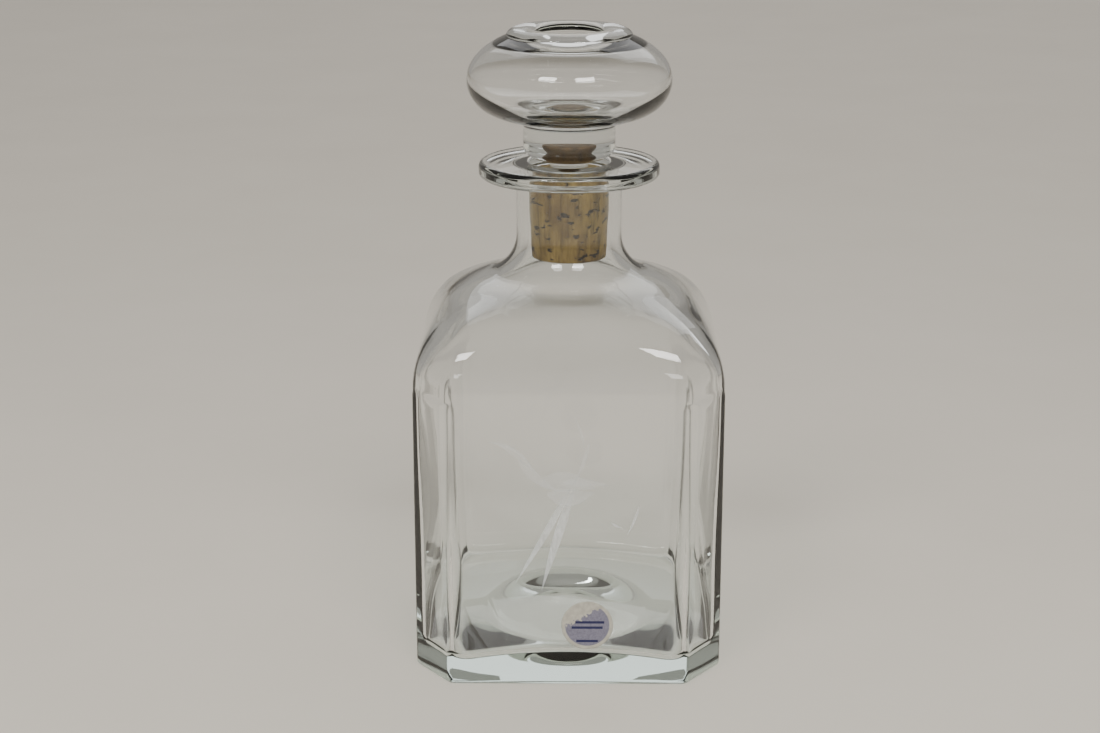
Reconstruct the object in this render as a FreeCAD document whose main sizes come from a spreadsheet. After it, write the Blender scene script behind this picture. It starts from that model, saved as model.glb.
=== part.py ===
import FreeCAD, Part
import os
import re
import Sketcher
from FreeCAD import Vector

# Square glass decanter with a hollow glass stopper knob on a tapered cork.
# Millimetres. The origin is the middle of the base, +Z is up, the front face looks along -Y.

SIZES = [
    # body: a square block with chamfered upright corners
    ("body_half", 48.0),        # centre to each flat face
    ("corner_across", 11.0),    # chamfer, measured along X
    ("corner_deep", 15.0),      # chamfer, measured along Y
    ("edge_round", 2.0),        # round on the upright outer edges
    ("foot_round", 1.5),        # round on the edge of the foot
    ("wall", 4.0),              # glass thickness of walls and shoulder
    ("inner_round", 6.5),       # round on the upright edges of the hollow
    ("heel_round", 4.5),        # round between the hollow's floor and its walls
    # shoulder: every face leans in along a quarter circle, and so do the corners
    ("shoulder_start", 91.4),
    ("shoulder_round", 31.0),
    ("corner_reach", 1.27),     # the corners' radius over the faces' half width
    # base: thick glass, pushed up in the middle
    ("floor", 4.5),             # glass under the hollow, out at the corners
    ("floor_dome_radius", 56.0),
    ("floor_dome_rise", 8.5),   # rise of the floor inside, corners to middle
    ("push_up_radius", 28.0),
    ("push_up_under", 5.5),     # depth of the dish underneath
    # neck and lip
    ("neck_radius", 16.5),
    ("bore_radius", 12.62),
    ("neck_flare", 13.0),       # arcs that join neck and bore to the shoulder's own arc
    ("bore_flare", 16.9),
    ("lip_radius", 28.3),
    ("lip_top", 156.5),
    ("lip_thick", 5.0),
    ("lip_thin", 1.1),          # how much thinner the lip is at the neck than at its edge
    ("lip_round", 1.7),
    ("lip_fillet", 1.4),
    ("mouth_round", 1.0),
    # cork
    ("cork_top", 153.2),
    ("cork_bottom", 125.5),
    ("cork_taper_start", 143.0),
    ("cork_radius", 12.55),
    ("cork_end_radius", 11.6),
    ("cork_round", 1.0),
    ("socket_bottom", 137.0),
    ("socket_radius", 6.05),
    # knob: peg, bowl-ended collar, hollow bulb open at the top, rolled ring
    ("peg_radius", 6.0),
    ("peg_bottom", 137.5),
    ("peg_round", 0.8),
    ("bowl_bottom", 156.8),
    ("bowl_rise", 4.4),
    ("collar_radius", 14.4),
    ("collar_top", 167.4),
    ("waist_round", 1.2),
    ("bulb_radius", 31.8),
    ("bulb_middle", 182.2),
    ("bulb_below", 15.7),       # half-heights of the bulb's two half ellipses
    ("bulb_above", 16.8),
    ("ring_outer", 19.6),
    ("ring_top", 198.0),
    ("ring_crest", 14.8),
    ("ring_inner", 10.4),       # the open mouth inside the ring
    ("ring_fall", 2.6),         # from the ring's crest down to the bulb
    ("ring_drop", 1.8),         # and down to the mouth
    ("ring_mid", 0.41),         # middle of the ring's arcs, over their width and their drop
    ("ring_bow", 0.27),
    ("ring_under", 193.6),
    ("ring_rise", 1.4),
    ("hollow_wall", 1.7),
    ("hollow_flat", 15.0),      # radius of the hollow's flat floor
    ("hollow_below", 9.2),      # half-heights of the hollow
    ("hollow_above", 15.0),
    # label
    ("label_radius", 8.0),
    ("label_thick", 0.12),
    ("label_across", 5.9),
    ("label_height", 20.3),
    # shared by several outlines
    ("arc_mid", 0.29),          # a quarter circle's middle, from each side of its square
    ("flare_sink", 0.2),        # how deep a flare's foot lies in the shoulder it joins
    ("spare", 1.0),             # how far cuts and joins run past a face
]

doc = FreeCAD.newDocument("decanter")
sheet = doc.addObject("Spreadsheet::Sheet", "Sizes")
for row, (alias, size) in enumerate(SIZES, start=1):
    sheet.set("A%d" % row, alias)
    sheet.set("B%d" % row, str(size))
    sheet.setAlias("B%d" % row, alias)
doc.recompute()


def linked(text):
    """Turn size names in a formula into references to the sheet's cells."""
    names = {alias for alias, size in SIZES}
    return re.sub(r"[a-z_]+", lambda m: ("Sizes." if m[0] in names else "") + m[0], text)


def number(text):
    value = sheet.evalExpression(linked(text))
    return float(getattr(value, "Value", value))


def new_body(label):
    body = doc.addObject("PartDesign::Body", label)
    body.Label = label
    return body


def new_sketch(body, role, name):
    sketch = body.newObject("Sketcher::SketchObject", name)
    plane = [f for f in body.Origin.OriginFeatures if f.Role == role][0]
    sketch.AttachmentSupport = (plane, "")
    sketch.MapMode = "FlatFace"
    return sketch


def pin(sketch, geometry, end, point):
    """Hold one point of a sketch at two formulas, measured from the origin."""
    for kind, formula in zip(("DistanceX", "DistanceY"), point):
        at = sketch.addConstraint(
            Sketcher.Constraint(kind, -1, 1, geometry, end, number(formula)))
        sketch.setExpression("Constraints[%d]" % at, linked(formula))


def outline(sketch, start, path):
    """Draw a closed outline: each step is (end,) for a line or (via, end) for an arc."""
    first = None
    last = None
    here = start
    for step in path:
        end = step[-1]
        a = Vector(number(here[0]), number(here[1]), 0)
        b = Vector(number(end[0]), number(end[1]), 0)
        if len(step) == 1:
            piece = sketch.addGeometry(Part.LineSegment(a, b), False)
            head, tail = 1, 2
        else:
            via = step[0]
            through = Vector(number(via[0]), number(via[1]), 0)
            arc = Part.Arc(a, through, b)
            piece = sketch.addGeometry(arc, False)
            mark = sketch.addGeometry(Part.Point(through), True)
            turn = (through - a).cross(b - through).z
            head, tail = (1, 2) if turn > 0 else (2, 1)
            sketch.addConstraint(Sketcher.Constraint("PointOnObject", mark, 1, piece))
            pin(sketch, mark, 1, via)
        pin(sketch, piece, tail, end)
        if last is not None:
            sketch.addConstraint(Sketcher.Constraint("Coincident", last[0], last[1], piece, head))
        else:
            first = (piece, head)
        last = (piece, tail)
        here = end
    sketch.addConstraint(Sketcher.Constraint("Coincident", last[0], last[1], first[0], first[1]))


def flare(radius, flare_radius, shoulder_radius):
    """The arc that joins an upright wall to the shoulder's arc: its low end, middle and top."""
    across = "(%s + %s - body_half + shoulder_round)" % (radius, flare_radius)
    up = "sqrt((%s + %s)^2 - %s^2)" % (shoulder_radius, flare_radius, across)
    share = "%s / (%s + %s)" % (shoulder_radius, shoulder_radius, flare_radius)
    half_turn = "(atan(%s / %s) / 2)" % (up, across)
    low = ("body_half - shoulder_round + %s * %s" % (across, share),
           "shoulder_start + %s * %s" % (up, share))
    middle = ("%s + %s - %s * cos(%s)" % (radius, flare_radius, flare_radius, half_turn),
              "shoulder_start + %s - %s * sin(%s)" % (up, flare_radius, half_turn))
    return low, middle, (radius, "shoulder_start + %s" % up)


def on_ellipse(centre, axes, degrees, sign):
    """Formulas of a point on a half ellipse, measured from its widest point upwards."""
    across = "%s + %s * cos(%g deg)" % (centre[0], axes[0], degrees)
    up = "%s %s %s * sin(%g deg)" % (centre[1], sign, axes[1], degrees)
    return across, up


def turned(kind, body, role, name, start, path):
    """Revolve or groove a profile once round the body's Z axis."""
    sketch = new_sketch(body, role, name + "_profile")
    outline(sketch, start, path)
    doc.recompute()
    feature = body.newObject("PartDesign::" + kind, name)
    feature.Profile = sketch
    feature.ReferenceAxis = (sketch, ["V_Axis"])
    feature.Angle = 360.0
    doc.recompute()
    return feature


def block(body, name, half, corner_x, corner_y, bottom, top):
    """Pad the octagonal plan of the body from one height to another."""
    sketch = new_sketch(body, "XY_Plane", name + "_plan")
    sketch.AttachmentOffset = FreeCAD.Placement(
        Vector(0, 0, number(bottom)), FreeCAD.Rotation())
    sketch.setExpression("AttachmentOffset.Base.z", linked(bottom))
    near_x = "(%s) - (%s)" % (half, corner_x)
    near_y = "(%s) - (%s)" % (half, corner_y)
    less = "0 - (%s)"
    far = half
    start = (far, less % near_y)
    path = [
        ((far, near_y),),
        ((near_x, far),),
        ((less % near_x, far),),
        ((less % far, near_y),),
        ((less % far, less % near_y),),
        ((less % near_x, less % far),),
        ((near_x, less % far),),
        (start,),
    ]
    outline(sketch, start, path)
    pad = body.newObject("PartDesign::Pad", name)
    pad.Profile = sketch
    pad.Length = number("%s - (%s)" % (top, bottom))
    pad.setExpression("Length", linked("%s - (%s)" % (top, bottom)))
    doc.recompute()
    return pad


def rounded(body, name, base, picked, radius):
    """Fillet the edges of a feature that a test picks."""
    edges = [i for i, edge in enumerate(base.Shape.Edges, start=1) if picked(edge)]
    fillet = body.newObject("PartDesign::Fillet", name)
    fillet.Base = (base, ["Edge%d" % i for i in edges])
    fillet.Radius = number(radius)
    fillet.setExpression("Radius", linked(radius))
    doc.recompute()
    return fillet


def is_upright(edge):
    box = edge.BoundBox
    return box.XLength < 1e-6 and box.YLength < 1e-6 and box.ZLength > 1.0


def is_low(edge):
    """Picks the edge loop where the floor of the hollow meets its walls."""
    box = edge.BoundBox
    return box.ZMax < number("floor + floor_dome_rise") and not is_upright(edge)


def lies_at(height):
    def test(edge):
        box = edge.BoundBox
        return box.ZLength < 1e-6 and abs(box.ZMin - height) < 1e-6
    return test


def above_arc(body, role, kind, name, inset, factor, sides):
    """Remove what lies outside the shoulder's arc, on one side of the axis or on both."""
    sketch = new_sketch(body, role, name + "_profile")
    inner = "(body_half - shoulder_round) * %s" % factor
    reach = "(shoulder_round * %s - %s)" % (factor, inset)
    rise = "(shoulder_round - %s)" % inset
    high = "shoulder_start + shoulder_round + spare"
    marks = [on_ellipse((inner, "shoulder_start"), (reach, rise), degrees, "+")
             for degrees in (0, 22.5, 45, 67.5, 90)]
    for side in sides:
        def at(point, flip=side):
            return "%s(%s)" % (flip, point[0]), point[1]
        outline(sketch, at(marks[0]), [
            (at(marks[1]), at(marks[2])),
            (at(marks[3]), at(marks[4])),
            (at((inner, high)),),
            (at(("2 * body_half", high)),),
            (at(("2 * body_half", "shoulder_start")),),
            (at(marks[0]),),
        ])
    doc.recompute()
    before = body.Shape.Volume
    cut = body.newObject("PartDesign::" + kind, name)
    cut.Profile = sketch
    if kind == "Groove":
        cut.ReferenceAxis = (sketch, ["V_Axis"])
        cut.Angle = 360.0
    else:
        cut.Type = "ThroughAll"
        cut.Midplane = True
    doc.recompute()
    if not cut.Shape.Volume < before - 100.0:
        raise RuntimeError("%s cut nothing" % name)
    return cut


def shoulder(body, name, inset):
    above_arc(body, "XZ_Plane", "Pocket", name + "_sides", inset, "1", ("", "-"))
    above_arc(body, "YZ_Plane", "Pocket", name + "_faces", inset, "1", ("", "-"))
    above_arc(body, "XZ_Plane", "Groove", name + "_corners", inset, "corner_reach", ("",))


# --- bottle: outer form ---------------------------------------------------------------------

outer = new_body("bottle_outer")
block_outer = block(outer, "body_block", "body_half", "corner_across", "corner_deep",
                    "0", "shoulder_start + shoulder_round")
edges_outer = rounded(outer, "upright_rounds", block_outer, is_upright, "edge_round")
rounded(outer, "foot_rounds", edges_outer, lies_at(0.0), "foot_round")
shoulder(outer, "shoulder", "0")

shoulder_top = "shoulder_start + shoulder_round"
lip_under = "lip_top - lip_thick"
lip_root = "lip_top - lip_thick + lip_thin"
flare_low, flare_middle, flare_top = flare("neck_radius", "neck_flare", "(shoulder_round - flare_sink)")
neck = turned("Revolution", outer, "XZ_Plane", "neck_and_lip", ("0", flare_low[1]), [
    (flare_low,),
    (flare_middle, flare_top),
    (("neck_radius", lip_root + " - lip_fillet"),),
    (("neck_radius + lip_fillet * arc_mid", lip_root + " - lip_fillet * arc_mid"),
     ("neck_radius + lip_fillet", lip_root)),
    (("lip_radius - lip_round", lip_under),),
    (("lip_radius - lip_round * arc_mid", lip_under + " + lip_round * arc_mid"),
     ("lip_radius", lip_under + " + lip_round")),
    (("lip_radius", "lip_top - lip_round"),),
    (("lip_radius - lip_round * arc_mid", "lip_top - lip_round * arc_mid"),
     ("lip_radius - lip_round", "lip_top")),
    (("0", "lip_top"),),
    (("0", flare_low[1]),),
])

before_push = neck.Shape.Volume
push_under = turned("Groove", outer, "XZ_Plane", "push_up", ("0", "push_up_under"), [
    (("push_up_radius * 0.5", "push_up_under * 0.75"), ("push_up_radius", "0")),
    (("push_up_radius", "0 - spare"),),
    (("0", "0 - spare"),),
    (("0", "push_up_under"),),
])
if not push_under.Shape.Volume < before_push - 1000.0:
    raise RuntimeError("the push-up groove cut nothing")

# --- bottle: the hollow ---------------------------------------------------------------------

cavity = new_body("bottle_hollow")
chamfer_long = "hypot(corner_across; corner_deep)"
inset_x = "corner_across - wall + wall * (%s - corner_across) / corner_deep" % chamfer_long
inset_y = "corner_deep - wall + wall * (%s - corner_deep) / corner_across" % chamfer_long
block_inner = block(cavity, "hollow_block", "body_half - wall", inset_x, inset_y,
                    "floor", shoulder_top)
edges_inner = rounded(cavity, "hollow_upright_rounds", block_inner, is_upright, "inner_round")
dome_top = "floor + floor_dome_rise"
floor_dome = turned("Groove", cavity, "XZ_Plane", "floor_dome", ("0", dome_top), [
    (("floor_dome_radius * 0.5", "floor + floor_dome_rise * 0.75"),
     ("floor_dome_radius", "floor")),
    (("floor_dome_radius", "floor - spare"),),
    (("0", "floor - spare"),),
    (("0", dome_top),),
])
rounded(cavity, "hollow_heel_rounds", floor_dome, is_low, "heel_round")
shoulder(cavity, "hollow_shoulder", "wall")
bore_low, bore_middle, bore_top = flare(
    "bore_radius", "bore_flare", "(shoulder_round - wall - flare_sink)")
turned("Revolution", cavity, "XZ_Plane", "bore", ("0", bore_low[1]), [
    (bore_low,),
    (bore_middle, bore_top),
    (("bore_radius", "lip_top - mouth_round"),),
    (("bore_radius + mouth_round * arc_mid", "lip_top - mouth_round * arc_mid"),
     ("bore_radius + mouth_round", "lip_top")),
    (("bore_radius + mouth_round", "lip_top + spare"),),
    (("0", "lip_top + spare"),),
    (("0", bore_low[1]),),
])
bottle = doc.addObject("Part::Cut", "bottle")
bottle.Label = "bottle"
bottle.Base = outer
bottle.Tool = cavity

# --- cork -----------------------------------------------------------------------------------

cork = new_body("cork")
turned("Revolution", cork, "XZ_Plane", "cork_form", ("0", "cork_bottom"), [
    (("cork_end_radius - cork_round", "cork_bottom"),),
    (("cork_end_radius - cork_round * arc_mid", "cork_bottom + cork_round * arc_mid"),
     ("cork_end_radius", "cork_bottom + cork_round")),
    (("cork_radius", "cork_taper_start"),),
    (("cork_radius", "cork_top"),),
    (("0", "cork_top"),),
    (("0", "cork_bottom"),),
])
turned("Groove", cork, "XZ_Plane", "peg_socket", ("0", "socket_bottom"), [
    (("socket_radius", "socket_bottom"),),
    (("socket_radius", "cork_top + spare"),),
    (("0", "cork_top + spare"),),
    (("0", "socket_bottom"),),
])

# --- stopper knob: blown, open at the top inside a thick rolled ring -------------------------

knob = new_body("stopper_knob")
bulb_centre = ("0", "bulb_middle")
below = ("bulb_radius", "bulb_below")
above = ("bulb_radius", "bulb_above")
low = [on_ellipse(bulb_centre, below, degrees, "-") for degrees in (45, 30, 15, 7.5, 0)]
high = [on_ellipse(bulb_centre, above, degrees, "+") for degrees in (12, 24, 38, 52)]
ring_shoulder = "ring_top - ring_drop"
turned("Revolution", knob, "XZ_Plane", "knob_form", ("0", "peg_bottom"), [
    (("peg_radius - peg_round", "peg_bottom"),),
    (("peg_radius - peg_round * arc_mid", "peg_bottom + peg_round * arc_mid"),
     ("peg_radius", "peg_bottom + peg_round")),
    (("peg_radius", "bowl_bottom"),),
    (("collar_radius * 0.8", "bowl_bottom + bowl_rise * 0.4"),
     ("collar_radius", "bowl_bottom + bowl_rise")),
    (("collar_radius", "collar_top"),),
    (("collar_radius + waist_round * 0.4", "collar_top + waist_round"),
     ("collar_radius + waist_round * 2", "collar_top + waist_round * 1.5")),
    (low[0],),
    (low[1], low[2]),
    (low[3], low[4]),
    (high[0], high[1]),
    (high[2], high[3]),
    (("ring_outer - (ring_outer - ring_crest) * ring_mid", "ring_top - ring_fall * ring_bow"),
     ("ring_crest", "ring_top")),
    (("ring_inner + (ring_crest - ring_inner) * ring_mid", "ring_top - ring_drop * ring_bow"),
     ("ring_inner", ring_shoulder)),
    (("0", ring_shoulder),),
    (("0", "peg_bottom"),),
])
hollow_radius = "(bulb_radius - hollow_wall)"
floor_edge = ("hollow_flat", "bulb_middle")
floor_curve = ("(%s - hollow_flat)" % hollow_radius, "hollow_below")
hollow_low = [on_ellipse(floor_edge, floor_curve, degrees, "-")
              for degrees in (90, 67.5, 45, 22.5, 0)]
hollow_high = [on_ellipse(bulb_centre, (hollow_radius, "hollow_above"), degrees, "+")
               for degrees in (22.5, 42)]
solid_volume = knob.Shape.Volume
turned("Groove", knob, "XZ_Plane", "knob_hollow", ("0", "bulb_middle - hollow_below"), [
    (hollow_low[0],),
    (hollow_low[1], hollow_low[2]),
    (hollow_low[3], hollow_low[4]),
    (hollow_high[0], hollow_high[1]),
    (("ring_crest", "ring_under"),),
    (("ring_inner + (ring_crest - ring_inner) * ring_mid", "ring_under + ring_rise * ring_bow"),
     ("ring_inner", "ring_under + ring_rise")),
    (("ring_inner", "ring_top + spare"),),
    (("0", "ring_top + spare"),),
    (("0", "bulb_middle - hollow_below"),),
])
if not knob.Shape.Volume < solid_volume - 10000.0:
    raise RuntimeError("the knob's hollow cut nothing")

# --- label ----------------------------------------------------------------------------------

label = doc.addObject("Part::Cylinder", "label")
label.Label = "label"
label.setExpression("Radius", "Sizes.label_radius")
label.setExpression("Height", "Sizes.label_thick")
label.Placement = FreeCAD.Placement(Vector(0, 0, 0), FreeCAD.Rotation(Vector(1, 0, 0), 90))
label.setExpression("Placement.Base.x", "Sizes.label_across")
label.setExpression("Placement.Base.y", "-Sizes.body_half")
label.setExpression("Placement.Base.z", "Sizes.label_height")

# --- checks and files -----------------------------------------------------------------------

doc.recompute()
for item in doc.Objects:
    if {"Invalid", "Error"} & set(item.State):
        raise RuntimeError("%s did not build: %s" % (item.Name, item.State))

NODES = (bottle, cork, knob, label)
for node in NODES:
    shape = node.Shape
    if shape.isNull() or not shape.isValid() or len(shape.Solids) != 1:
        raise RuntimeError("%s is not one valid solid" % node.Label)

os.makedirs("parts", exist_ok=True)
for node in NODES:
    node.Shape.exportStep("parts/%s.step" % node.Label)
    print(node.Label, round(node.Shape.Volume), "mm3", node.Shape.BoundBox)
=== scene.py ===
import math

import bmesh
import bpy
import numpy as np
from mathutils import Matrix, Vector, noise


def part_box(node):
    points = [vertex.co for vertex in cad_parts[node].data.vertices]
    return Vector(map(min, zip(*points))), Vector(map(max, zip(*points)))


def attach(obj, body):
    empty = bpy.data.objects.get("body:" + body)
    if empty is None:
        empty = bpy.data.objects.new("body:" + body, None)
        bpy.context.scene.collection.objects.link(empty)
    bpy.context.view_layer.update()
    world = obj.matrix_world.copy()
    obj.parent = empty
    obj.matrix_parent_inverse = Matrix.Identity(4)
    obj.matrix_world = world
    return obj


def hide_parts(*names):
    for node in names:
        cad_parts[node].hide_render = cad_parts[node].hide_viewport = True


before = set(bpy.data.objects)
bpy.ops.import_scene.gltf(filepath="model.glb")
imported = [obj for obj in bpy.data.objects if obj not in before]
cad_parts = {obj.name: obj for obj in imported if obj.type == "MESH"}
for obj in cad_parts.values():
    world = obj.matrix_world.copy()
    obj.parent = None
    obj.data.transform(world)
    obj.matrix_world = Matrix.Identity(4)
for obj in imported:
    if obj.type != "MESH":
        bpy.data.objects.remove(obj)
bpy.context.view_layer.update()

# Square glass decanter. Lengths below are millimetres until a mesh is made, then metres.
MM = 0.001
BOTTLE_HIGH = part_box("bottle")[1]
CORK_LOW, CORK_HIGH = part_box("cork")
KNOB_LOW, KNOB_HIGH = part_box("stopper_knob")
LABEL_LOW, LABEL_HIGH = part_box("label")

# Body, shoulder and walls of the bottle
HALF = BOTTLE_HIGH.x / MM
CORNER_ACROSS = 11.0
CORNER_DEEP = 15.0
OUTER_BEND = 2.5
INNER_BEND = 6.5
WALL = 4.0
THINNED = 2.0
SHOULDER_START = 91.4
SHOULDER_ROUND = 31.0
SHOULDER_BASE = HALF - SHOULDER_ROUND
CORNER_REACH = 1.27
# The shoulder's corners soften from crisp over the first degrees of its rise, then it turns round
CRISP = 90.0
SOFTEST_SHARE = 0.15
SOFT_BY_DEGREES = 50.0
ROUND_FROM_DEGREES = 38.0
# The wall thins upwards above the heel and is full again where the neck begins
THIN_FROM = 25.0
THIN_OVER = 60.0
FULL_FROM = SHOULDER_START + 4.0
FULL_OVER = 14.0
# Ripples in the glass: their size, their depth and where the noise is read
OUTER_RIPPLE = (30.0, -0.06, 3.0)
INNER_RIPPLE = (24.0, 0.3, 7.0)

# Neck and lip
LIP_TOP = BOTTLE_HIGH.z / MM
LIP = 28.3
LIP_THICK = 5.0
LIP_ROUND = 1.7
LIP_THIN = 1.1
LIP_FILLET = 1.4
NECK = 16.5
NECK_FLARE = 13.0
BORE = 12.62
BORE_FLARE = 16.9
MOUTH_ROUND = 1.0

# Base: floor and heel of the hollow, push-up and foot underneath
FLOOR_LOW = 4.5
FLOOR_RISE = 8.5
FLOOR_REACH = 56.0
HEEL = 6.0
PUSH_RADIUS = 28.0
PUSH_DEPTH = 5.5
FOOT_ROUND = 1.6
FLOOR_GAP = 0.05

# Knob
KNOB_RADIUS = KNOB_HIGH.x / MM
KNOB_TOP = KNOB_HIGH.z / MM
KNOB_BOTTOM = KNOB_LOW.z / MM
KNOB_MIDDLE = 182.2
KNOB_RISE = 16.8
KNOB_WALL = 1.1
HOLLOW_RADIUS = KNOB_RADIUS - KNOB_WALL
HOLLOW_FLAT = 15.0
HOLLOW_FLOOR = 171.8
HOLLOW_RISE = 15.0
PEG = 6.0
PEG_EDGE = 0.8
COLLAR = 14.4
COLLAR_TOP = 167.4
BOWL_TOP = 161.2
BOWL_ROUND = 6.8
BOWL_DEEP = 4.3
RING_MOUTH = 10.4
RING_CREST = 14.8

# Cork
CORK_RADIUS = CORK_HIGH.x / MM
CORK_BOTTOM = CORK_LOW.z / MM
CORK_TOP = 153.2
CORK_FOOT = 11.6
CORK_TAPER_TOP = 143.0
CORK_EDGE = 0.4
SOCKET = 6.05
SOCKET_FLOOR = 137.0
SEAT_MIDDLE = 161.6
SEAT_RADIUS = 5.6


# --- mesh helpers ---------------------------------------------------------------------------

def add_piece(name, points, faces):
    """Object in the scene from points in millimetres."""
    mesh = bpy.data.meshes.new(name)
    mesh.from_pydata([tuple(float(v) * MM for v in p) for p in points], [], faces)
    mesh.validate()
    piece = bpy.data.objects.new(name, mesh)
    bpy.context.scene.collection.objects.link(piece)
    return piece


def skin(name, rows):
    """Piece from rows of points, closed round each row. A first or last row of one point is a pole."""
    points = []
    starts = []
    for row in rows:
        starts.append(len(points))
        points.extend(row)
    faces = []
    for a in range(len(rows) - 1):
        n, k = len(rows[a]), len(rows[a + 1])
        s, t = starts[a], starts[a + 1]
        count = max(n, k)
        for i in range(count):
            j = (i + 1) % count
            if n == 1:
                faces.append((s, t + i, t + j))
            elif k == 1:
                faces.append((s + i, t, s + j))
            else:
                faces.append((s + i, t + i, t + j, s + j))
    piece = add_piece(name, points, faces)
    outward = bmesh.new()
    outward.from_mesh(piece.data)
    bmesh.ops.recalc_face_normals(outward, faces=outward.faces)
    outward.to_mesh(piece.data)
    outward.free()
    piece.data.shade_smooth()
    return piece


def arc(centre, radii, start, end, count):
    """Profile points (radius, height) along an elliptic arc, angles in degrees."""
    steps = np.radians(np.linspace(start, end, count))
    return [(centre[0] + radii[0] * math.cos(a), centre[1] + radii[1] * math.sin(a)) for a in steps]


def round_arc(centre, radius, start, end, count):
    return arc(centre, (radius, radius), start, end, count)


def bezier(p0, p1, p2, p3, count):
    points = []
    for t in np.linspace(0.0, 1.0, count):
        u = 1.0 - t
        w = (u ** 3, 3 * u * u * t, 3 * u * t * t, t ** 3)
        points.append(tuple(sum(k * p[i] for k, p in zip(w, (p0, p1, p2, p3))) for i in (0, 1)))
    return points


def line(p0, p1, count):
    return [tuple(p) for p in np.linspace(p0, p1, count)]


def smooth(t):
    """Ease from 0 to 1, held outside that range."""
    t = min(max(t, 0.0), 1.0)
    return t * t * (3.0 - 2.0 * t)


def full_turn(count):
    return np.linspace(0.0, 2.0 * math.pi, count, endpoint=False)


def lathe(name, profile, columns):
    """Turned piece from a profile of (radius, height) points."""
    rows = []
    for radius, height in profile:
        if radius == 0.0:
            rows.append([(0.0, 0.0, height)])
        else:
            rows.append([(radius * math.cos(a), radius * math.sin(a), height) for a in full_turn(columns)])
    return skin(name, rows)


# --- bottle ---------------------------------------------------------------------------------

BEND_STEPS = 9
FACE_STEPS = 35
CHAMFER_STEPS = 9


def plan(half, across, deep, radius):
    """Octagonal plan with rounded corners, the same number of points for any size."""
    side = half - deep
    front = half - across
    corners = [(half, -side), (half, side), (front, half), (-front, half),
               (-half, side), (-half, -side), (-front, -half), (front, -half)]
    bends = []
    for i, corner in enumerate(corners):
        here = np.array(corner)
        before = here - np.array(corners[i - 1])
        after = np.array(corners[(i + 1) % len(corners)]) - here
        before /= np.linalg.norm(before)
        after /= np.linalg.norm(after)
        turn = math.acos(float(before @ after))
        reach = radius * math.tan(turn / 2)
        centre = here - before * reach + radius * np.array([-before[1], before[0]])
        first = math.atan2(-before[0], before[1])
        bends.append([centre + radius * np.array([math.cos(a), math.sin(a)])
                      for a in first + turn * np.linspace(0.0, 1.0, BEND_STEPS)])
    points = []
    for i, bend in enumerate(bends):
        points += bend
        steps = FACE_STEPS if i % 2 == 0 else CHAMFER_STEPS
        start, end = bend[-1], bends[(i + 1) % len(bends)][0]
        points += [start + (end - start) * s for s in np.linspace(0.0, 1.0, steps + 2)[1:-1]]
    return np.array(points)


CHAMFER = math.hypot(CORNER_ACROSS, CORNER_DEEP)
CHAMFER_REACH = (HALF * CORNER_DEEP + (HALF - CORNER_DEEP) * CORNER_ACROSS) / CHAMFER
CHAMFER_TURN = math.atan2(CORNER_ACROSS, CORNER_DEEP)
OUTER_PLAN = (HALF, CORNER_ACROSS, CORNER_DEEP)
INNER_PLAN = (
    HALF - WALL,
    CORNER_ACROSS - WALL + WALL * (CHAMFER - CORNER_ACROSS) / CORNER_DEEP,
    CORNER_DEEP - WALL + WALL * (CHAMFER - CORNER_DEEP) / CORNER_ACROSS,
)
COLUMN_TURNS = np.arctan2(*plan(*OUTER_PLAN, OUTER_BEND).T[::-1])


def ring(shape, bend, width, height, roundness):
    """One level of the bottle: the octagon scaled to a half width, blended into a circle."""
    flat = plan(*shape, bend) * (width / shape[0])
    circle = width * np.column_stack((np.cos(COLUMN_TURNS), np.sin(COLUMN_TURNS)))
    mixed = flat * (1.0 - roundness) + circle * roundness
    return np.column_stack((mixed, np.full(len(mixed), height)))


def round_ring(width, height):
    return ring(OUTER_PLAN, OUTER_BEND, width, height, 1.0)


def shoulder_ring(width, inset, height, softness, roundness):
    """One level of the shoulder: faces and chamfers cut by a wider circle, with soft corners."""
    level = []
    for turn in COLUMN_TURNS:
        c, s = abs(math.cos(turn)), abs(math.sin(turn))
        chamfer = math.cos(math.atan2(s, c) - CHAMFER_TURN) / (CHAMFER_REACH - inset)
        limits = (c / width, s / width, chamfer, 1.0 / (CORNER_REACH * (width + inset) - inset))
        reach = sum(limit ** softness for limit in limits) ** (-1.0 / softness)
        reach += (width - reach) * roundness
        level.append((reach * math.cos(turn), reach * math.sin(turn), height))
    return np.array(level)


def ripple(points, size, depth, seed):
    """Uneven glass: each point moves in or out from the axis by up to depth."""
    moved = points.copy()
    for p in moved:
        push = noise.noise(Vector((p[0] / size, p[1] / size, p[2] / (size * 1.4) + seed)))
        reach = math.hypot(p[0], p[1])
        p[0] += push * depth * p[0] / reach
        p[1] += push * depth * p[1] / reach
    return moved


def thinning(height):
    """How much thinner than at the heel the wall is at a height."""
    walls = smooth((height - THIN_FROM) / THIN_OVER)
    neck = smooth((height - FULL_FROM) / FULL_OVER)
    return THINNED * (walls - neck)


def shoulder_levels(inset, last, count):
    """Levels of the shoulder from the walls to the angle where the neck's flare begins.
    Inset is 0 for the outside and the wall for the inside."""
    rise = SHOULDER_ROUND - inset
    levels = []
    for degrees in np.linspace(0.0, last, count):
        a = math.radians(degrees)
        softness = CRISP * SOFTEST_SHARE ** smooth(degrees / SOFT_BY_DEGREES)
        roundness = smooth((degrees - ROUND_FROM_DEGREES) / (last - ROUND_FROM_DEGREES))
        height = SHOULDER_START + rise * math.sin(a)
        thinner = thinning(height) if inset else 0.0
        width = SHOULDER_BASE + rise * math.cos(a) + thinner
        levels.append(shoulder_ring(width, inset - thinner, height, softness, roundness))
    return levels


def flare_circle(radius, flare, shoulder):
    """Centre of the arc that joins the neck to the shoulder's arc, and the angle where they meet."""
    across = radius + flare - SHOULDER_BASE
    up = math.sqrt((shoulder + flare) ** 2 - across ** 2)
    return (radius + flare, SHOULDER_START + up), math.degrees(math.atan2(up, across))


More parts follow.
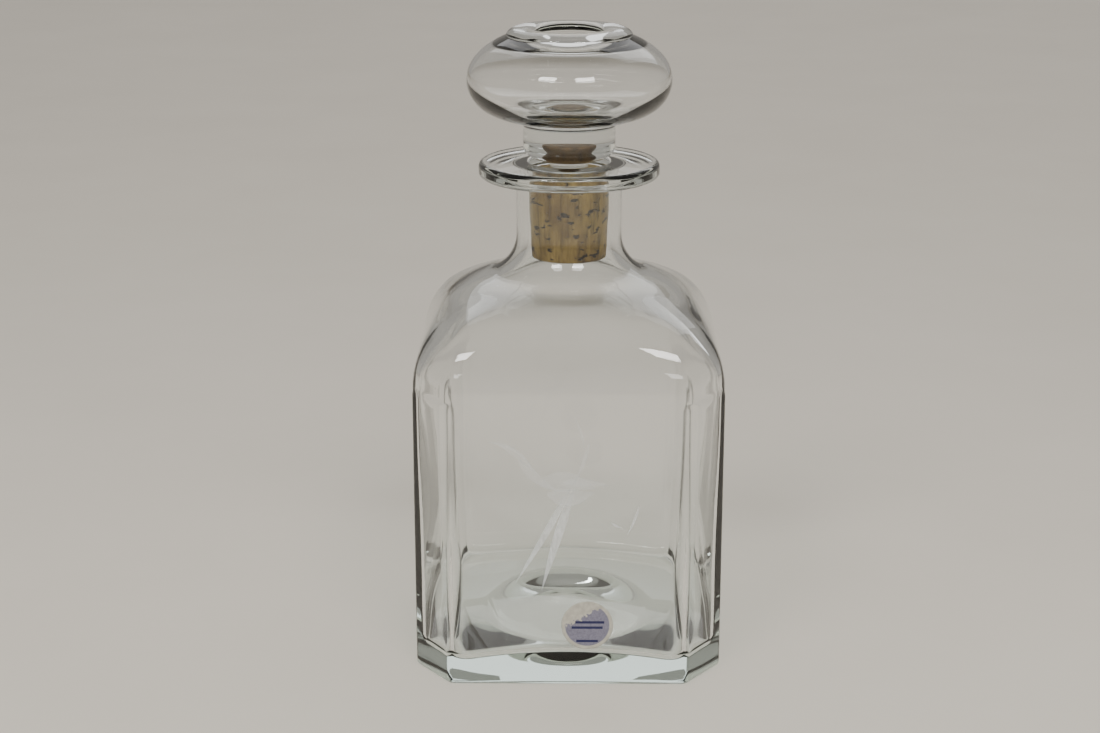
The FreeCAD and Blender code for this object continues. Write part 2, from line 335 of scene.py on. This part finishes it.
def foot_rows():
    """The push-up under the base, the flat it stands on and the rounded edge of the foot."""
    rows = [[(0.0, 0.0, PUSH_DEPTH)]]
    for r in np.linspace(1.5, PUSH_RADIUS, 20):
        rows.append(round_ring(r, PUSH_DEPTH * (1.0 - smooth(r / PUSH_RADIUS))))
    flat = HALF - FOOT_ROUND
    for t in np.linspace(0.15, 1.0, 7):
        width = PUSH_RADIUS + (flat - PUSH_RADIUS) * t
        rows.append(ring(OUTER_PLAN, OUTER_BEND, width, 0.0, 1.0 - smooth(t)))
    for width, height in round_arc((flat, FOOT_ROUND), FOOT_ROUND, -75, 0, 6):
        rows.append(ring(OUTER_PLAN, OUTER_BEND, width, height, 0.0))
    return rows


def outer_rows():
    """Outside of the walls and the shoulder."""
    rows = []
    for height in np.linspace(3.0, SHOULDER_START - 1.5, 40):
        rows.append(ripple(ring(OUTER_PLAN, OUTER_BEND, HALF, height, 0.0), *OUTER_RIPPLE))
    return rows + shoulder_levels(0.0, flare_circle(NECK, NECK_FLARE, SHOULDER_ROUND)[1], 36)


def lip_profile():
    """The flat lip from the neck's fillet, round its edge, to the mouth of the bore."""
    under = LIP_TOP - LIP_THICK
    root = under + LIP_THIN
    fillet = (NECK + LIP_FILLET, root - LIP_FILLET)
    edge = LIP - LIP_ROUND
    profile = round_arc(fillet, LIP_FILLET, 180, 96, 8)
    profile += line((fillet[0] + 0.4, root - 0.05), (edge - 0.4, under), 8)
    profile += round_arc((edge, under + LIP_ROUND), LIP_ROUND, -88, -2, 8)
    profile += round_arc((edge, LIP_TOP - LIP_ROUND), LIP_ROUND, 2, 88, 8)
    profile += line((edge - 0.4, LIP_TOP), (BORE + MOUTH_ROUND + 0.3, LIP_TOP - 0.02), 8)
    profile += round_arc((BORE + MOUTH_ROUND, LIP_TOP - MOUTH_ROUND), MOUTH_ROUND, 90, 180, 6)
    return profile


def neck_rows():
    """Outside of the flared neck and the lip."""
    centre, meeting = flare_circle(NECK, NECK_FLARE, SHOULDER_ROUND)
    lip = lip_profile()
    profile = round_arc(centre, NECK_FLARE, 180 + meeting, 180, 16)[1:]
    profile += line((NECK, centre[1] + 0.8), (NECK, lip[0][1] - 0.4), 12)
    return [round_ring(width, height) for width, height in profile + lip]


def hollow_rows():
    """Inside of the bottle from the mouth down the bore, the shoulder and the walls."""
    centre, meeting = flare_circle(BORE, BORE_FLARE, SHOULDER_ROUND - WALL)
    bore = line((BORE, LIP_TOP - 2 * MOUTH_ROUND), (BORE, centre[1] + 1.0), 16)
    bore += round_arc(centre, BORE_FLARE, 180, 180 + meeting, 16)[:-1]
    rows = [round_ring(width, height) for width, height in bore]
    rows += [ripple(level, *INNER_RIPPLE) for level in reversed(shoulder_levels(WALL, meeting, 32))]
    for height in np.linspace(SHOULDER_START - 1.5, 19.0, 40):
        level = ring(INNER_PLAN, INNER_BEND, HALF - WALL + thinning(height), height, 0.0)
        rows.append(ripple(level, *INNER_RIPPLE))
    return rows


def floor_height(x, y):
    reach = min(1.0, math.hypot(x, y) / FLOOR_REACH)
    return FLOOR_LOW + FLOOR_RISE * (1.0 - reach * reach)


def floor_rows():
    """The heel and the arched floor of the hollow, from the walls to the middle."""
    size, depth, seed = INNER_RIPPLE
    rows = []
    for degrees in np.linspace(4.0, 90.0, 14):
        a = math.radians(degrees)
        level = ring(INNER_PLAN, INNER_BEND, HALF - WALL - HEEL * (1.0 - math.cos(a)), 0.0, 0.0)
        for p in level:
            p[2] = floor_height(p[0], p[1]) + HEEL * (1.0 - math.sin(a))
        rows.append(ripple(level, size, depth * math.cos(a), seed))
    for t in np.linspace(0.94, 0.04, 22):
        level = ring(INNER_PLAN, INNER_BEND, (HALF - WALL - HEEL) * t, 0.0, 1.0 - smooth(t))
        for p in level:
            p[2] = floor_height(p[0], p[1])
        rows.append(level)
    rows.append([(0.0, 0.0, floor_height(0.0, 0.0))])
    return rows


def build_bottle():
    return skin("bottle_glass", foot_rows() + outer_rows() + neck_rows() + hollow_rows() + floor_rows())


# --- stopper --------------------------------------------------------------------------------

def knob_outside():
    """Profile up the peg, the bowl, the collar and the bulb to the crest of the ring."""
    profile = [(0.0, KNOB_BOTTOM)]
    profile += line((1.5, KNOB_BOTTOM), (PEG - PEG_EDGE, KNOB_BOTTOM), 4)
    profile += round_arc((PEG - PEG_EDGE, KNOB_BOTTOM + PEG_EDGE), PEG_EDGE, -70, 0, 5)
    profile += line((PEG, KNOB_BOTTOM + 2.0), (PEG, BOWL_TOP - 5.0), 8)
    profile += [(PEG + 0.3, BOWL_TOP - 4.45)]
    profile += arc((COLLAR - BOWL_ROUND, BOWL_TOP), (BOWL_ROUND, BOWL_DEEP), -84, 0, 14)
    profile += line((COLLAR, BOWL_TOP + 0.8), (COLLAR, COLLAR_TOP - 0.6), 6)
    profile += bezier((COLLAR, COLLAR_TOP), (COLLAR, COLLAR_TOP + 1.2),
                      (COLLAR + 1.1, COLLAR_TOP + 1.8), (COLLAR + 3.0, COLLAR_TOP + 2.2), 7)
    profile += bezier((COLLAR + 4.0, COLLAR_TOP + 2.4), (KNOB_RADIUS - 5.8, COLLAR_TOP + 3.5),
                      (KNOB_RADIUS, KNOB_MIDDLE - 7.2), (KNOB_RADIUS, KNOB_MIDDLE), 20)
    profile += arc((0.0, KNOB_MIDDLE), (KNOB_RADIUS, KNOB_RISE), 4, 51, 18)
    profile += bezier((RING_CREST + 4.9, KNOB_TOP - 2.55), (RING_CREST + 4.3, KNOB_TOP - 0.8),
                      (RING_CREST + 2.6, KNOB_TOP), (RING_CREST, KNOB_TOP), 10)
    return profile


def knob_inside():
    """Profile from the crest of the ring in through its mouth and down the hollow."""
    profile = bezier((RING_CREST - 0.6, KNOB_TOP - 0.02), (RING_MOUTH + 2.0, KNOB_TOP - 0.1),
                     (RING_MOUTH, KNOB_TOP - 0.7), (RING_MOUTH, KNOB_TOP - 1.8), 9)
    profile += bezier((RING_MOUTH, KNOB_TOP - 2.4), (RING_MOUTH, KNOB_TOP - 3.5),
                      (RING_MOUTH + 2.0, KNOB_TOP - 4.1), (RING_MOUTH + 5.0, KNOB_TOP - 4.4), 9)
    profile += bezier((RING_CREST + 1.4, KNOB_TOP - 4.5), (RING_CREST + 3.4, KNOB_TOP - 4.8),
                      (RING_CREST + 5.4, KNOB_TOP - 5.1), (RING_CREST + 6.8, KNOB_TOP - 5.4), 6)
    profile += arc((0.0, KNOB_MIDDLE), (HOLLOW_RADIUS, HOLLOW_RISE), 42, 2, 16)
    profile += arc((HOLLOW_FLAT, KNOB_MIDDLE),
                   (HOLLOW_RADIUS - HOLLOW_FLAT, KNOB_MIDDLE - HOLLOW_FLOOR), -3, -90, 22)
    profile += line((HOLLOW_FLAT - 1.0, HOLLOW_FLOOR), (2.0, HOLLOW_FLOOR), 10)
    profile += [(0.0, HOLLOW_FLOOR)]
    return profile


def build_knob():
    return lathe("knob_glass", knob_outside() + knob_inside(), 168)


def build_cork():
    """Cork with its socket for the peg: straight at the top and tapered below."""
    profile = [(0.0, CORK_BOTTOM)]
    profile += line((1.5, CORK_BOTTOM), (CORK_FOOT - 1.1, CORK_BOTTOM), 8)
    profile += round_arc((CORK_FOOT - 1.0, CORK_BOTTOM + 1.0), 1.0, -75, 0, 6)
    profile += line((CORK_FOOT + 0.02, CORK_BOTTOM + 1.6), (CORK_RADIUS - 0.02, CORK_TAPER_TOP), 34)
    profile += line((CORK_RADIUS, CORK_TAPER_TOP + 0.6), (CORK_RADIUS, CORK_TOP - 0.5), 30)
    profile += round_arc((CORK_RADIUS - CORK_EDGE, CORK_TOP - CORK_EDGE), CORK_EDGE, 0, 90, 4)
    profile += line((CORK_RADIUS - 0.9, CORK_TOP), (SOCKET + 0.35, CORK_TOP), 10)
    profile += [(SOCKET + 0.01, CORK_TOP - 0.3)]
    profile += line((SOCKET, CORK_TOP - 1.0), (SOCKET, SOCKET_FLOOR + 0.3), 10)
    profile += [(SOCKET - 1.05, SOCKET_FLOOR), (0.0, SOCKET_FLOOR)]
    piece = lathe("cork_body", profile, 200)
    rough_cork(piece.data)
    return piece


def rough_cork(mesh):
    """Pores and grain sunk into the cork's outside and its ends, but not into the socket."""
    socket_edge = 7.2
    for v in mesh.vertices:
        p = v.co / MM
        flat = Vector((p.x, p.y, 0.0))
        if flat.length < socket_edge:
            continue
        pore = noise.noise(Vector((p.x * 0.55, p.y * 0.55, p.z * 1.1)))
        grain = noise.noise(Vector((p.x * 2.1, p.y * 2.1, p.z * 0.8 + 9.0)))
        sink = 0.35 * max(0.0, pore - 0.42) + 0.03 * max(0.0, grain)
        if p.z < CORK_BOTTOM + 0.3:
            v.co.z += sink * MM
        elif p.z > CORK_TOP - 0.2:
            v.co.z -= sink * MM
        else:
            v.co -= flat.normalized() * sink * MM


def build_seat():
    """Top of the cork's core, glued up into the glass of the knob's collar."""
    profile = [(0.0, SEAT_MIDDLE - 3.5), (1.5, SEAT_MIDDLE - 3.45)]
    profile += arc((0.0, SEAT_MIDDLE), (SEAT_RADIUS, 3.3), -62, 0, 12)
    profile += [(SEAT_RADIUS - 0.3, SEAT_MIDDLE + 0.35), (4.0, SEAT_MIDDLE + 0.45)]
    profile += [(2.0, SEAT_MIDDLE + 0.5), (0.0, SEAT_MIDDLE + 0.5)]
    return lathe("cork_seat", profile, 96)


# --- label and engraving --------------------------------------------------------------------

def build_label():
    """Round sticker, a disc of paper with a slightly uneven edge lying on the front face."""
    centre = (LABEL_LOW + LABEL_HIGH) / 2 / MM
    radius = (LABEL_HIGH.x - LABEL_LOW.x) / 2 / MM
    front = LABEL_LOW.y / MM
    back = -HALF - 0.005
    edges = []
    for a in full_turn(96):
        torn = abs(noise.noise(Vector((3 * math.cos(a), 3 * math.sin(a), 2.0))))
        edges.append((radius * (1.0 - 0.012 * torn), a))

    def level(share, depth):
        return [(centre.x + share * edge * math.cos(a), depth, centre.z + share * edge * math.sin(a))
                for edge, a in edges]

    rows = [[(centre.x, back, centre.z)], level(0.5, back), level(0.99, back)]
    rows += [level(1.0, front), level(0.97, front)]
    rows += [level(share, front + 0.02) for share in (0.85, 0.6, 0.3)]
    rows += [[(centre.x, front, centre.z)]]
    return skin("paper_label", rows)


TAIL_TOP = 52.0
BODY_LOW = 62.0


def bird_strokes():
    """Strokes of a small long-tailed bird on the front face, each with its start, bend and end
    (x, z) and its widest half width."""
    beak = ((-24.6, 79.8), (-16.5, 79.6), (-10.6, 71.4), 0.5)
    head = ((-21.5, 79.2), (-15.0, 77.0), (-9.0, 68.6), 0.9)
    throat = ((-15.0, 74.6), (-11.0, 67.5), (-3.0, 64.4), 1.3)
    far_wing = ((1.7, 87.7), (4.6, 82.5), (4.7, 77.2), 0.3)
    near_wing = ((6.4, 80.0), (4.6, 72.0), (1.2, 66.0), 0.5)
    back = ((-8.5, 66.0), (-1.0, 69.0), (8.5, 64.8), 2.6)
    breast = ((-6.5, 63.4), (1.0, 60.4), (8.0, 64.0), 2.2)
    rump = ((-2.0, 66.5), (4.0, 67.5), (12.4, 66.0), 1.1)
    long_feather = ((0.6, 65.4), (-5.5, 52.0), (-16.2, 34.2), 0.85)
    short_feather = ((1.8, 65.2), (-3.4, 50.0), (-8.1, 31.9), 1.1)
    twig = ((13.0, 54.2), (14.4, 52.8), (16.4, 52.4), 0.3)
    stalk = ((21.6, 59.8), (20.6, 55.2), (18.0, 50.0), 0.3)
    return [beak, head, throat, far_wing, near_wing, back, breast, rump,
            long_feather, short_feather, twig, stalk]


def build_engraving():
    """Ground strokes of the engraved bird, each a blade tapering to both ends."""
    steps = 28
    across = (-1.0, -0.4, 0.4, 1.0)
    points = []
    faces = []
    for order, (start, bend, end, width) in enumerate(bird_strokes()):
        start, bend, end = (np.array(p) for p in (start, bend, end))
        depth = -HALF - 0.012 - 0.003 * order
        base = len(points)
        for i, t in enumerate(np.linspace(0.0, 1.0, steps)):
            at = (1 - t) ** 2 * start + 2 * t * (1 - t) * bend + t * t * end
            along = 2 * (1 - t) * (bend - start) + 2 * t * (end - bend)
            side = np.array([-along[1], along[0]]) / np.linalg.norm(along)
            half = 1.25 * width * max(0.03, math.sin(math.pi * t ** 0.8))
            for share in across:
                x, z = at + side * half * share
                points.append((x, depth, z))
            if i:
                for k in range(len(across) - 1):
                    a = base + (i - 1) * len(across) + k
                    b = a + len(across)
                    faces.append((a, a + 1, b + 1, b))
    return add_piece("engraved_bird", points, faces)


# --- materials ------------------------------------------------------------------------------

def grey(value):
    return (value, value, value)


class Nodes:
    """A material's node tree, with short calls to add and join nodes."""

    def __init__(self, name):
        self.material = bpy.data.materials.new(name)
        self.material.use_nodes = True
        self.tree = self.material.node_tree
        self.tree.nodes.clear()
        self.output = self.add("ShaderNodeOutputMaterial")

    def add(self, kind, values=None, **settings):
        node = self.tree.nodes.new(kind)
        for key, value in settings.items():
            setattr(node, key, value)
        for key, value in (values or {}).items():
            self.feed(value, node.inputs[key])
        return node

    def join(self, source, target):
        self.tree.links.new(source, target)

    def feed(self, value, target):
        """Give a socket a value, or join it to another node's output."""
        if isinstance(value, bpy.types.NodeSocket):
            self.join(value, target)
        else:
            target.default_value = value

    def object_point(self):
        return self.add("ShaderNodeTexCoord").outputs["Object"]

    def noise(self, scale, detail=3.0, roughness=0.5, stretch=(1, 1, 1)):
        mapping = self.add("ShaderNodeMapping", {"Vector": self.object_point(), "Scale": stretch})
        node = self.add("ShaderNodeTexNoise", {
            "Vector": mapping.outputs["Vector"], "Scale": scale, "Detail": detail, "Roughness": roughness})
        return node.outputs["Fac"]

    def height(self, low, high):
        """0 below the first height and 1 above the second, in metres."""
        split = self.add("ShaderNodeSeparateXYZ", {"Vector": self.object_point()})
        node = self.add("ShaderNodeMapRange", {
            "Value": split.outputs["Z"], "From Min": low, "From Max": high})
        return node.outputs[0]

    def ramp(self, factor, low, *rest):
        """Colours (position, colour) from the first to the last along the factor."""
        stops = (low, *rest)
        node = self.add("ShaderNodeValToRGB", {"Fac": factor})
        elements = node.color_ramp.elements
        while len(elements) < len(stops):
            elements.new(0.5)
        for element, (position, colour) in zip(elements, stops):
            element.position = position
            element.color = (*colour, 1.0)
        return node.outputs["Color"]

    def mix(self, factor, a, b, blend="MIX"):
        """Colour a towards colour b. Sockets 0, 6 and 7 are the factor and the two colours."""
        node = self.add("ShaderNodeMix", data_type="RGBA", blend_type=blend)
        self.feed(factor, node.inputs[0])
        self.feed(a, node.inputs[6])
        self.feed(b, node.inputs[7])
        return node.outputs[2]

    def math(self, kind, *values):
        node = self.add("ShaderNodeMath", operation=kind)
        for value, target in zip(values, node.inputs):
            self.feed(value, target)
        return node.outputs[0]

    def bump(self, height, distance):
        node = self.add("ShaderNodeBump", {"Height": height, "Distance": distance, "Strength": 1.0})
        return node.outputs["Normal"]

    def finish(self, shader):
        self.join(shader.outputs[0], self.output.inputs["Surface"])
        return self.material


def glass_material(name, tint, density, wave):
    """Clear glass: faint waves and smears, tinted by its thickness. Lamplight and the light that
    falls on matt things go straight through it."""
    n = Nodes(name)
    smear = n.ramp(n.noise(38.0, 5.0, 0.65, (1, 1, 0.6)), (0.35, grey(0.0)), (0.9, grey(0.035)))
    waves = n.noise(26.0, 2.0, 0.4, (1, 1, 0.5))
    glass = n.add("ShaderNodeBsdfPrincipled", {
        "Base Color": (0.995, 1.0, 0.998, 1.0), "Transmission Weight": 1.0, "IOR": 1.5,
        "Roughness": smear, "Normal": n.bump(waves, wave)})
    clear = n.add("ShaderNodeBsdfTransparent", {"Color": (0.93, 0.945, 0.94, 1.0)})
    path = n.add("ShaderNodeLightPath")
    straight = n.math("MAXIMUM", path.outputs["Is Shadow Ray"], path.outputs["Is Diffuse Ray"])
    volume = n.add("ShaderNodeVolumeAbsorption", {"Color": (*tint, 1.0), "Density": density})
    n.join(volume.outputs[0], n.output.inputs["Volume"])
    return n.finish(n.add("ShaderNodeMixShader", {0: straight, 1: glass.outputs[0], 2: clear.outputs[0]}))


def cork_material():
    """Upright streaks in worn patches, with dark pores."""
    n = Nodes("cork")
    streaks = n.noise(760.0, 6.0, 0.68, (1, 1, 0.1))
    patches = n.noise(120.0, 4.0, 0.6, (1, 1, 0.7))
    pores = n.noise(310.0, 2.5, 0.55, (1, 1, 1.7))
    base = n.ramp(streaks, (0.30, (0.045, 0.027, 0.006)), (0.46, (0.21, 0.138, 0.038)),
                  (0.72, (0.35, 0.245, 0.075)))
    shade = n.ramp(patches, (0.34, (0.42, 0.34, 0.28)), (0.6, grey(1.0)))
    holes = n.ramp(pores, (0.60, grey(0.0)), (0.63, grey(1.0)))
    colour = n.mix(holes, n.mix(0.85, base, shade, "MULTIPLY"), (0.010, 0.005, 0.003, 1.0))
    grain = n.math("SUBTRACT", streaks, n.math("MULTIPLY", holes, 1.2))
    return n.finish(n.add("ShaderNodeBsdfPrincipled", {
        "Base Color": colour, "Roughness": n.math("MULTIPLY_ADD", streaks, 0.25, 0.55),
        "Normal": n.bump(grain, 0.0004)}))


def seat_material():
    n = Nodes("cork_seat")
    mottle = n.noise(420.0, 5.0, 0.6)
    return n.finish(n.add("ShaderNodeBsdfPrincipled", {
        "Base Color": n.ramp(mottle, (0.3, (0.035, 0.018, 0.007)), (0.7, (0.13, 0.078, 0.032))),
        "Roughness": n.math("MULTIPLY_ADD", mottle, 0.3, 0.5), "Normal": n.bump(mottle, 0.0002)}))


def label_material():
    """Cream paper with a printed grey-violet disc, worn through at the upper left, and plain rules."""
    n = Nodes("label_paper")
    centre = (LABEL_LOW + LABEL_HIGH) / 2
    radius = (LABEL_HIGH.x - LABEL_LOW.x) / 2
    local = n.add("ShaderNodeMapping", {
        "Vector": n.object_point(),
        "Location": (-centre.x / radius, 0.0, -centre.z / radius),
        "Scale": (1 / radius, 0.0, 1 / radius)})
    split = n.add("ShaderNodeSeparateXYZ", {"Vector": local.outputs[0]})
    x, z = split.outputs["X"], split.outputs["Z"]
    reach = n.math("SQRT", n.math("ADD", n.math("MULTIPLY", x, x), n.math("MULTIPLY", z, z)))
    ragged = n.noise(900.0, 4.0, 0.6)
    torn_line = n.math("ADD", n.math("MULTIPLY", x, -0.55), z)
    torn = n.math("GREATER_THAN", n.math("MULTIPLY_ADD", ragged, 0.9, torn_line), 0.86)
    whole = n.math("SUBTRACT", 1.0, torn)
    paper = n.ramp(n.noise(700.0, 5.0, 0.6), (0.3, (0.44, 0.42, 0.36)), (0.7, (0.60, 0.58, 0.51)))
    violet = n.ramp(n.noise(1500.0, 4.0, 0.6), (0.3, (0.17, 0.165, 0.23)), (0.7, (0.26, 0.25, 0.33)))
    printed = n.math("MULTIPLY", n.math("LESS_THAN", reach, 0.86), whole)
    rules = 0.0
    for height, half in ((0.12, 0.66), (-0.10, 0.60), (-0.66, 0.42)):
        near = n.math("LESS_THAN", n.math("ABSOLUTE", n.math("SUBTRACT", z, height)), 0.05)
        inside = n.math("LESS_THAN", n.math("ABSOLUTE", x), half)
        rules = n.math("MAXIMUM", rules, n.math("MULTIPLY", near, inside))
    inked = n.math("MULTIPLY", rules, whole)
    colour = n.mix(inked, n.mix(printed, paper, violet), (0.015, 0.018, 0.085, 1.0))
    return n.finish(n.add("ShaderNodeBsdfPrincipled", {
        "Base Color": colour, "Roughness": n.math("MULTIPLY_ADD", ragged, 0.3, 0.4),
        "Normal": n.bump(ragged, 0.00006)}))


def engraving_material():
    """Ground glass: pale, rough and half see-through, with the wheel's fine scratches. The tail is
    cut deeper than the body."""
    n = Nodes("ground_glass")
    scratches = n.noise(1100.0, 3.0, 0.6, (1, 1, 0.35))
    patches = n.noise(150.0, 2.0, 0.5)
    strength = n.ramp(n.height(TAIL_TOP * MM, BODY_LOW * MM), (0.0, grey(0.52)), (1.0, grey(0.15)))
    return n.finish(n.add("ShaderNodeBsdfPrincipled", {
        "Base Color": n.ramp(scratches, (0.2, (0.80, 0.83, 0.88)), (0.8, (0.90, 0.93, 0.97))),
        "Roughness": n.math("MULTIPLY_ADD", scratches, 0.2, 0.5),
        "Alpha": n.math("MULTIPLY", strength, n.math("ADD", scratches, patches))}))


def floor_material():
    n = Nodes("pale_floor")
    mottle = n.noise(9.0, 6.0, 0.6)
    return n.finish(n.add("ShaderNodeBsdfPrincipled", {
        "Base Color": n.ramp(mottle, (0.3, (0.72, 0.675, 0.60)), (0.7, (0.75, 0.705, 0.63))),
        "Roughness": 0.75}))


# --- pieces ---------------------------------------------------------------------------------

def dress(piece, material, body, slot, *nodes):
    """Give a piece its material and its body, and say which CAD nodes it replaces. The slot is not used.
    """
    piece.data.materials.append(material)
    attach(piece, body)
    if nodes:
        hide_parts(*nodes)


dress(build_bottle(), glass_material("bottle_glass", (0.60, 0.74, 0.68), 10.0, 0.0002),
      "bottle", "bottle_glass", "bottle")
dress(build_knob(), glass_material("knob_glass", (0.62, 0.75, 0.70), 8.0, 0.0001),
      "knob", "knob_glass", "stopper_knob")
dress(build_cork(), cork_material(), "cork", "cork", "cork")
dress(build_seat(), seat_material(), "knob", "cork")
dress(build_label(), label_material(), "bottle", "paper", "label")
dress(build_engraving(), engraving_material(), "bottle", "bottle_glass")


# --- floor, light and camera ----------------------------------------------------------------

def build_floor():
    """Plain floor a hair under the foot, so that the two never share a plane."""
    reach = 6.0
    grid = bmesh.new()
    bmesh.ops.create_grid(grid, x_segments=12, y_segments=12, size=reach)
    mesh = bpy.data.meshes.new("floor")
    grid.to_mesh(mesh)
    grid.free()
    mesh.materials.append(floor_material())
    floor = bpy.data.objects.new("floor", mesh)
    floor.location.z = -FLOOR_GAP * MM
    bpy.context.scene.collection.objects.link(floor)


def soft_light(name, azimuth, elevation, distance, width, height, power, colour):
    """A panel that faces the bottle. Azimuth is measured from the camera's side towards +X."""
    data = bpy.data.lights.new(name, "AREA")
    data.shape = "RECTANGLE"
    data.size = width
    data.size_y = height
    data.energy = power
    data.color = colour
    lamp = bpy.data.objects.new(name, data)
    a, e = math.radians(azimuth), math.radians(elevation)
    target = Vector((0.0, 0.0, 0.1))
    away = Vector((math.sin(a) * math.cos(e), -math.cos(a) * math.cos(e), math.sin(e)))
    lamp.location = target + away * distance
    lamp.rotation_euler = (-away).to_track_quat("-Z", "Y").to_euler()
    bpy.context.scene.collection.objects.link(lamp)


def build_world():
    """Even pale light from behind and above, dimmer from the side where the viewer stands."""
    world = bpy.data.worlds.new("studio")
    world.use_nodes = True
    bpy.context.scene.world = world
    tree = world.node_tree
    direction = tree.nodes.new("ShaderNodeTexCoord")
    split = tree.nodes.new("ShaderNodeSeparateXYZ")
    shift = tree.nodes.new("ShaderNodeMath")
    shift.operation = "MULTIPLY_ADD"
    shift.inputs[1].default_value = 0.5
    shift.inputs[2].default_value = 0.5
    ramp = tree.nodes.new("ShaderNodeValToRGB")
    ramp.color_ramp.interpolation = "EASE"
    front, behind = ramp.color_ramp.elements
    front.position = 0.22
    front.color = (0.33, 0.315, 0.288, 1.0)
    behind.position = 0.62
    behind.color = (0.38, 0.361, 0.329, 1.0)
    background = tree.nodes["Background"]
    background.inputs["Strength"].default_value = 1.0
    tree.links.new(direction.outputs["Generated"], split.inputs[0])
    tree.links.new(split.outputs["Y"], shift.inputs[0])
    tree.links.new(shift.outputs[0], ramp.inputs["Fac"])
    tree.links.new(ramp.outputs["Color"], background.inputs["Color"])


def build_camera():
    """Standing view through a long lens, slightly from above."""
    sensor_width = 36.0
    lens_per_sensor = 2.0
    data = bpy.data.cameras.new("camera")
    data.sensor_width = sensor_width
    data.lens = lens_per_sensor * sensor_width
    data.clip_start = 0.05
    camera = bpy.data.objects.new("camera", data)
    camera.location = (0.0, -0.6758, 0.292)
    camera.rotation_euler = (math.radians(90.0 - 16.7), 0.0, math.radians(0.508))
    bpy.context.scene.collection.objects.link(camera)
    bpy.context.scene.camera = camera


build_floor()
WARM = (1.0, 0.98, 0.95)
COOL = (0.97, 0.98, 1.0)
soft_light("panel_left", -30.0, 47.0, 1.3, 0.36, 0.20, 7.0, WARM)
soft_light("panel_right", 21.0, 47.0, 1.3, 0.40, 0.22, 8.0, WARM)
soft_light("top_fill", 172.0, 42.0, 2.6, 2.6, 1.6, 17.0, COOL)
build_world()
build_camera()
